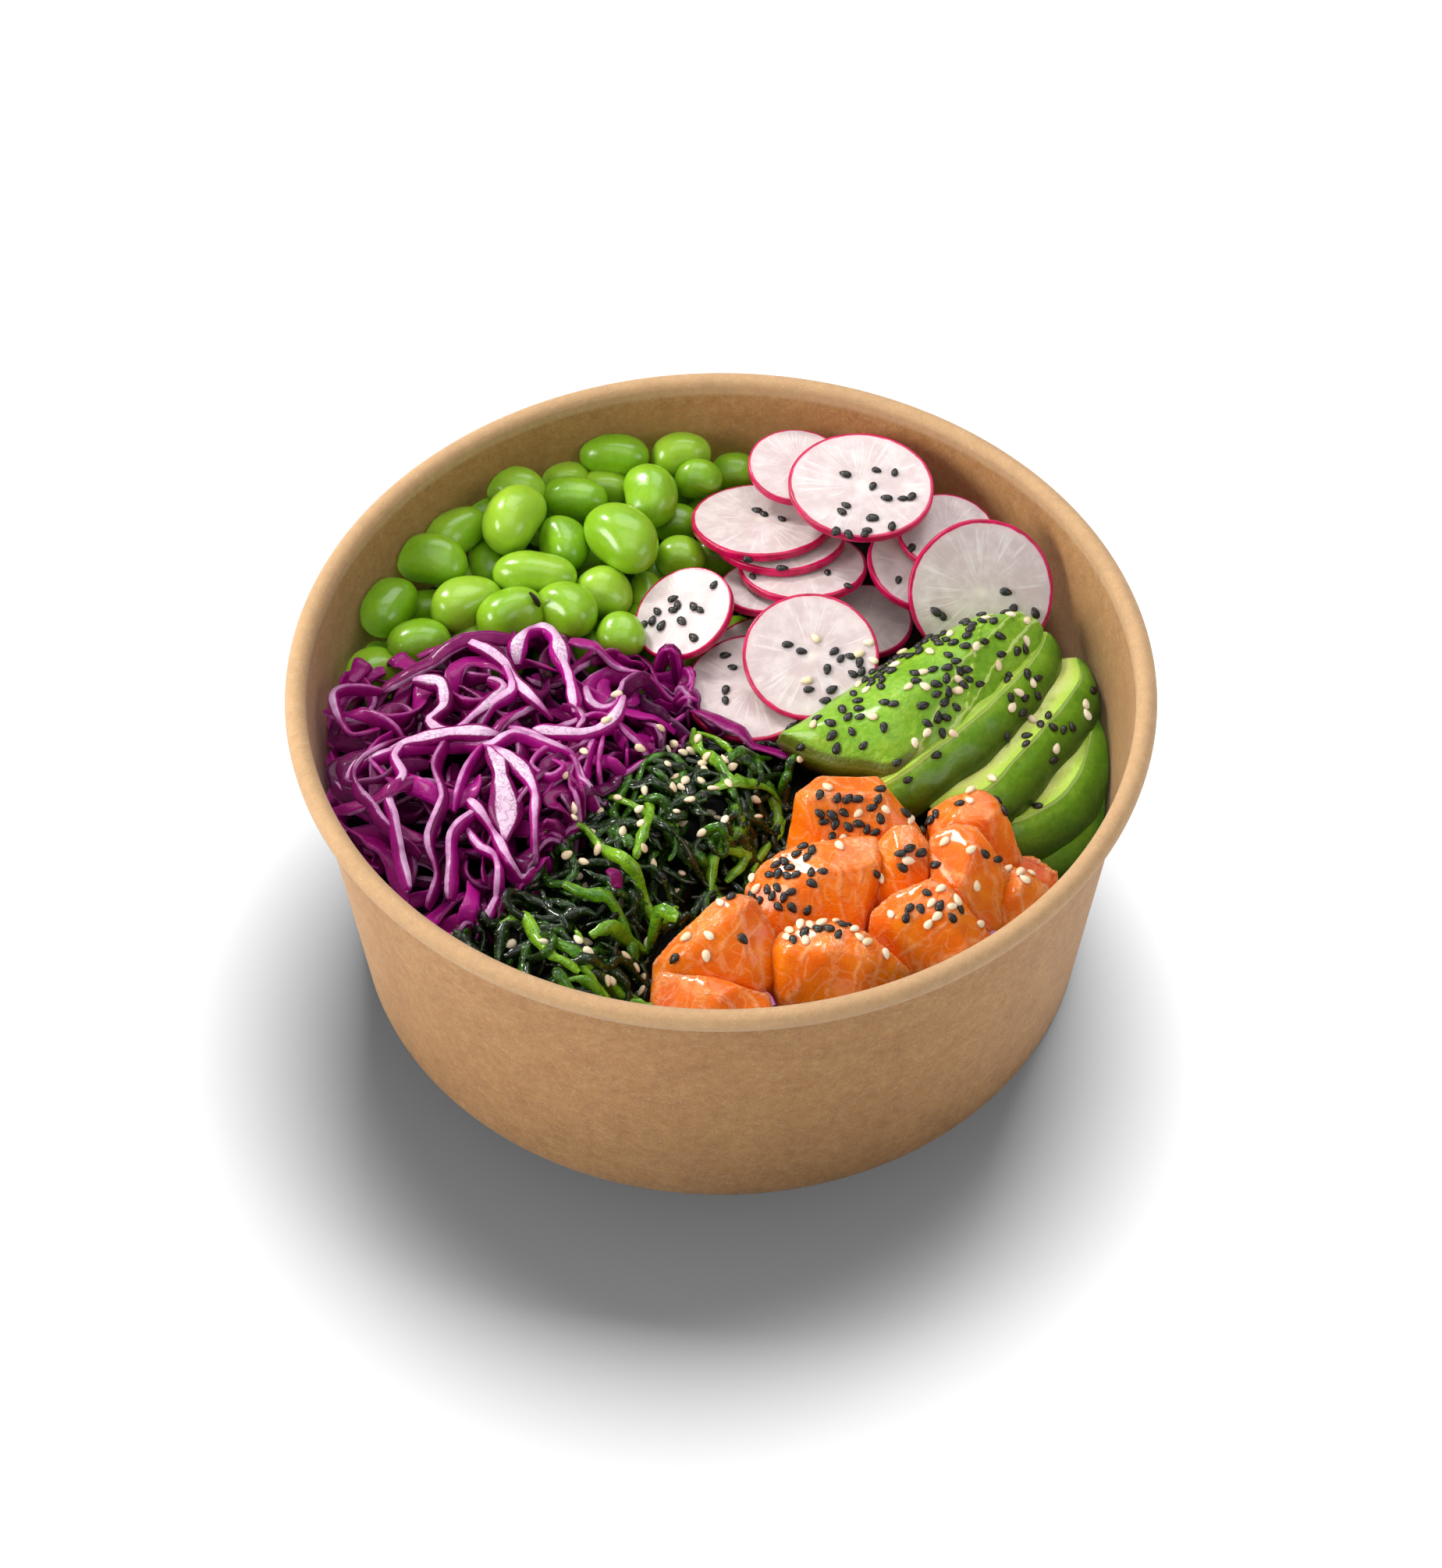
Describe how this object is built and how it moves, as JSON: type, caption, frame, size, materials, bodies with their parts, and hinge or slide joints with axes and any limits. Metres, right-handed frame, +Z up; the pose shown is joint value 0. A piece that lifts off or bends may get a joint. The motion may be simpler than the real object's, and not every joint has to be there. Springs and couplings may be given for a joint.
{
  "type": "poke bowl",
  "caption": "Round tapered paper food bowl filled with edamame beans, shredded red cabbage, seaweed salad, radish slices, salmon cubes and sliced avocado.",
  "frame": {"origin": "middle of the bowl's footprint, on the surface that it stands on", "axes": "+Z up, along the bowl's axis; +X to the right and -Y to the front as the bowl is served, with the salmon at the front right"},
  "size_m": [0.185, 0.185, 0.0769],
  "materials": {
    "kraft_paper": "plain brown kraft paperboard, fine fibres, slight sheen on the rolled rim",
    "edamame": "smooth bright green beans, wet gloss",
    "red_cabbage": "wet purple shreds with pale cut faces",
    "seaweed": "very dark green glossy strands, some bright green",
    "radish": "moist white flesh with fine radial streaks and a crimson skin",
    "salmon": "wet orange flesh with pale curved fat lines",
    "avocado": "soft green flesh, yellow inside, darker at the peeled side",
    "sesame_black": "black sesame seeds, satin",
    "sesame_white": "cream sesame seeds, satin"
  },
  "bodies": {
    "root": {"bowl": "kraft_paper", "edamame_heap": "edamame", "cabbage_heap": "red_cabbage", "seaweed_heap": "seaweed", "radish_slice_01": "radish", "radish_slice_02": "radish", "radish_slice_03": "radish", "radish_slice_04": "radish", "radish_slice_05": "radish", "radish_slice_06": "radish", "radish_slice_07": "radish", "radish_slice_08": "radish", "radish_slice_09": "radish", "radish_slice_10": "radish", "radish_slice_11": "radish", "radish_slice_12": "radish", "radish_slice_13": "radish", "radish_slice_14": "radish", "radish_slice_15": "radish", "radish_slice_16": "radish", "salmon_cube_01": "salmon", "salmon_cube_02": "salmon", "salmon_cube_03": "salmon", "salmon_cube_04": "salmon", "salmon_cube_05": "salmon", "salmon_cube_06": "salmon", "salmon_cube_07": "salmon", "salmon_cube_08": "salmon", "salmon_cube_09": "salmon", "salmon_cube_10": "salmon", "salmon_cube_11": "salmon", "avocado_slice_1": "avocado", "avocado_slice_2": "avocado", "avocado_slice_3": "avocado", "avocado_slice_4": "avocado", "avocado_slice_5": "avocado"}
  },
  "joints": []
}
